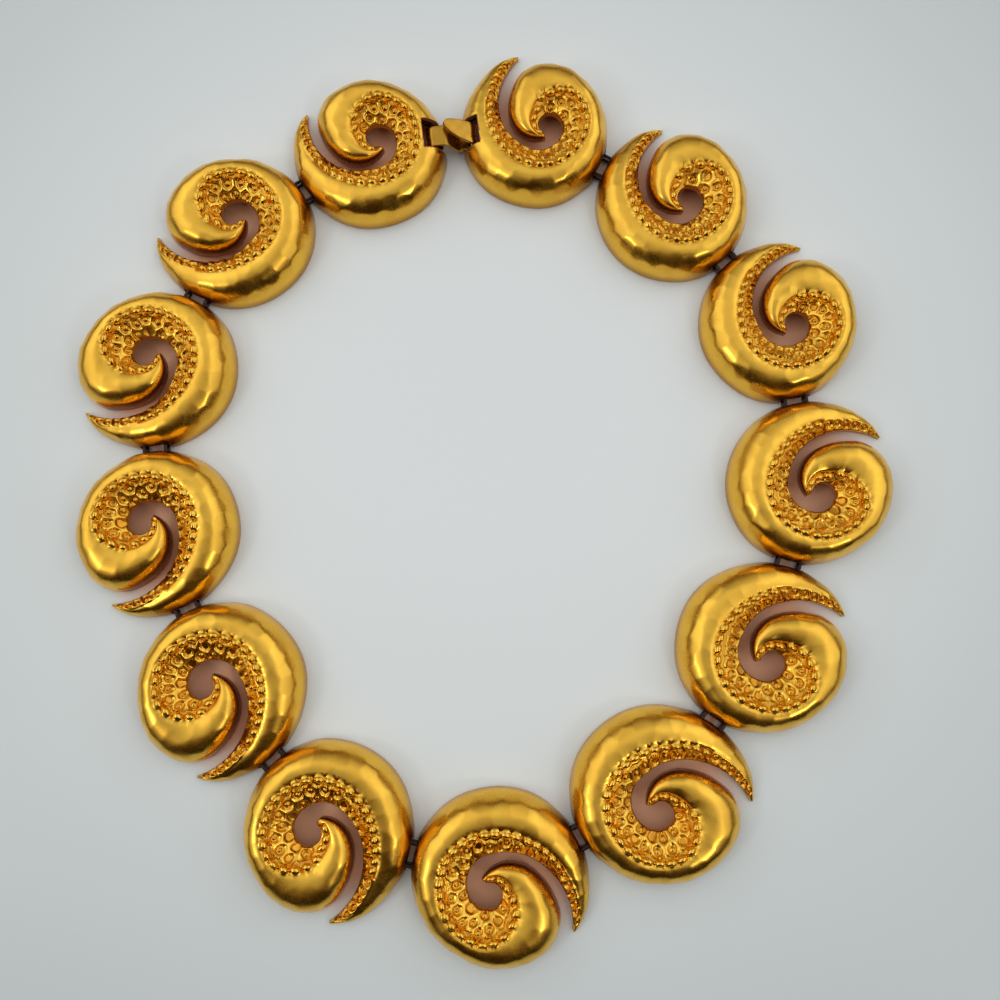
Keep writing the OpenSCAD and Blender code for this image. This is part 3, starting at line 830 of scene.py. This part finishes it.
# GOLD's deep colour is random mottling and also painted shade in the pits; its darkest colour is painted
# shade on edges, flanks and rim
GOLD = gold_material("hammered_gold", (0.95, 0.555, 0.068), (0.70, 0.315, 0.028), (0.16, 0.03, 0.008),
                     (0.20, 0.31), inner=(0.55, 0.18, 0.07))
WIRE = gold_material("dark_wire", (0.05, 0.03, 0.024), (0.03, 0.014, 0.010), (0.05, 0.02, 0.01), (0.16, 0.30))
STRIP = gold_material("strip_gold", (0.58, 0.32, 0.042), (0.30, 0.10, 0.015), (0.2, 0.06, 0.01), (0.22, 0.34))

# The pieces, over the frame's nodes
for i in range(COUNT):
    verts, faces, col, shell_faces = medallion(i)
    node = "medallion_%02d" % (i + 1)
    obj = make_mesh("hammered_" + node, verts, faces, col)
    obj.data.materials.append(GOLD)
    obj.data.materials.append(WIRE)
    obj.data.polygons.foreach_set("material_index", [int(f >= shell_faces) for f in range(len(faces))])
    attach(obj, "root")
    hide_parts(node)

for name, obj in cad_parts.items():
    if name.startswith("ring_"):
        for slot in obj.material_slots:
            slot.material = WIRE
        if not obj.material_slots:
            obj.data.materials.append(WIRE)

verts, faces = strip_hook()
hook = make_mesh("bent_strip_hook", verts, faces, sharp=50)
hook.data.materials.append(STRIP)
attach(hook, "root")
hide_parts("clasp_hook")


# The floor, in metres: pale paper with a painted pool of light, darker far out, and with painted shade warmed
# by light from the gold under and between the medallions
FLOOR_HALF, FLOOR_Z = 3.0, -0.00002
PAPER_LIT_NEAR, PAPER_SHADED_FAR, GOLD_BOUNCE_SHADE = (0.93, 0.985, 0.985), (0.61, 0.68, 0.68), (0.98, 0.52, 0.30)
LINK_SHADE_R, LINK_SHADE_FALL = 0.0032, 2.2


def bounce_shade_floor():
    mat, nt, bsdf = nodes_of("pale_floor")
    coord = nt.nodes.new("ShaderNodeTexCoord").outputs["Object"]
    # Painted pool of light: the paper is lightest near the middle and darker far out
    shade = remap(nt, distance(nt, coord, (0.0, 0.03, 0.0)), 0.03, 0.20, 0.0, 1.0, "SMOOTHSTEP")
    past_gold = 1.0
    for i in range(COUNT):
        at = place(i) * MM
        past_rim = math_node(nt, "SUBTRACT", distance(nt, coord, (at[0], at[1], 0.0)), LAY[i][SIZE] / 2 * MM)
        past_gold = math_node(nt, "MINIMUM", past_rim, past_gold)
        if i < COUNT - 1:
            at = (place(i) + place(i + 1)) / 2 * MM
            past = math_node(nt, "SUBTRACT", distance(nt, coord, (at[0], at[1], 0.0)), LINK_SHADE_R)
            past_gold = math_node(nt, "MINIMUM", math_node(nt, "MULTIPLY", past, LINK_SHADE_FALL), past_gold)
    # Painted shade tinted with warm light from the gold, under each medallion and round each link
    bounce_shade = remap(nt, past_gold, -0.007, -0.0005, 1.0, 0.0)
    nt.links.new(mix(nt, bounce_shade, mix(nt, shade, PAPER_LIT_NEAR, PAPER_SHADED_FAR), GOLD_BOUNCE_SHADE), bsdf.inputs["Base Color"])
    bsdf.inputs["Roughness"].default_value = 0.35
    bsdf.inputs["Specular IOR Level"].default_value = 0.35
    return mat


floor_mesh = bpy.data.meshes.new("floor")
corners = ((-1, -1), (1, -1), (1, 1), (-1, 1))
floor_mesh.from_pydata([(x * FLOOR_HALF, y * FLOOR_HALF, FLOOR_Z) for x, y in corners], [], [(0, 1, 2, 3)])
floor = linked("floor", floor_mesh)
floor.data.materials.append(bounce_shade_floor())


# The light: a tent with bright walls left and right, bright above and behind, and warm where it is dim
TENT_STRENGTH, WALL_STRENGTH, SEEN_STRENGTH = 0.43, 1.6, 0.62
TENT_WARM, TENT_COOL, SEEN_TINT = (1.0, 0.55, 0.28), (0.97, 0.98, 1.0), (0.95, 0.98, 1.0)
LAMP_TINT = (1.0, 0.96, 0.88)


def light_tent():
    world = bpy.data.worlds.new("light_tent")
    bpy.context.scene.world = world
    world.use_nodes = True
    nt = world.node_tree
    nt.nodes.clear()
    out = nt.nodes.new("ShaderNodeOutputWorld")
    bg = nt.nodes.new("ShaderNodeBackground")
    nt.links.new(bg.outputs[0], out.inputs[0])
    split = nt.nodes.new("ShaderNodeSeparateXYZ")
    nt.links.new(nt.nodes.new("ShaderNodeTexCoord").outputs["Generated"], split.inputs[0])
    x, y, z = split.outputs

    def ramp(v, lo, hi, a, b):
        return remap(nt, v, lo, hi, a, b, "SMOOTHSTEP")

    def times(a, b):
        return math_node(nt, "MULTIPLY", a, b)

    def plus(a, b):
        return math_node(nt, "ADD", a, b)

    wall = times(ramp(math_node(nt, "ABSOLUTE", x), 0.22, 0.52, 0.0, 1.0), ramp(z, 0.12, 0.42, 0.03, 1.0))
    wall = times(wall, ramp(y, -0.62, -0.35, 0.0, 1.0))
    above = times(ramp(z, 0.60, 0.92, 0.0, 0.70), ramp(y, -0.44, -0.18, 0.10, 1.0))
    behind = times(ramp(y, -0.15, 0.40, 0.0, 0.92), ramp(z, 0.1, 0.7, 0.15, 1.0))
    rest = times(ramp(y, -0.70, -0.10, 0.20, 1.0), ramp(z, 0.05, 0.50, 0.12, 0.30))
    total = times(plus(times(wall, WALL_STRENGTH), plus(above, plus(behind, rest))), TENT_STRENGTH)
    seen = nt.nodes.new("ShaderNodeLightPath").outputs["Is Camera Ray"]
    nt.links.new(mix(nt, seen, total, SEEN_STRENGTH, "FLOAT"), bg.inputs["Strength"])
    tint = mix(nt, ramp(total, 0.05, 0.45, 0.0, 1.0), TENT_WARM, TENT_COOL)
    nt.links.new(mix(nt, seen, tint, SEEN_TINT), bg.inputs["Color"])


def lamp(name, at, side, power):
    """A square lamp that points at the middle of the choker."""
    data = bpy.data.lights.new(name, "AREA")
    data.shape = "RECTANGLE"
    data.size, data.size_y = side, side
    data.energy = power
    data.color = LAMP_TINT
    obj = linked(name, data)
    obj.location = at
    obj.rotation_mode = "QUATERNION"
    obj.rotation_quaternion = (-Vector(at)).to_track_quat("-Z", "Y")
    obj.visible_camera = False


light_tent()
lamp("lamp_left", (-0.42, -0.18, 0.40), 0.10, 0.25)
lamp("lamp_right", (0.34, -0.30, 0.42), 0.07, 0.20)

# The camera, almost straight above
CAMERA_AT, CAMERA_DIR = Vector((5.93, -25.38, 192.3)) * MM, Vector((-0.0104, 0.1167, -1))
SENSOR_W, LENS_SHARE = 36, 0.939
cam_data = bpy.data.cameras.new("camera")
cam = linked("camera", cam_data)
cam_data.sensor_width = SENSOR_W
cam_data.lens = LENS_SHARE * SENSOR_W
forward = CAMERA_DIR.normalized()
right = forward.cross(Vector((0, 1, 0))).normalized()
up = right.cross(forward).normalized()
rows = [(right[n], up[n], -forward[n], CAMERA_AT[n]) for n in range(3)]
cam.matrix_world = Matrix(rows + [(0, 0, 0, 1)])
cam_data.clip_start, cam_data.clip_end = 0.01, 20
bpy.context.scene.camera = cam
bpy.context.scene.view_settings.view_transform = "Standard"

bpy.context.view_layer.update()
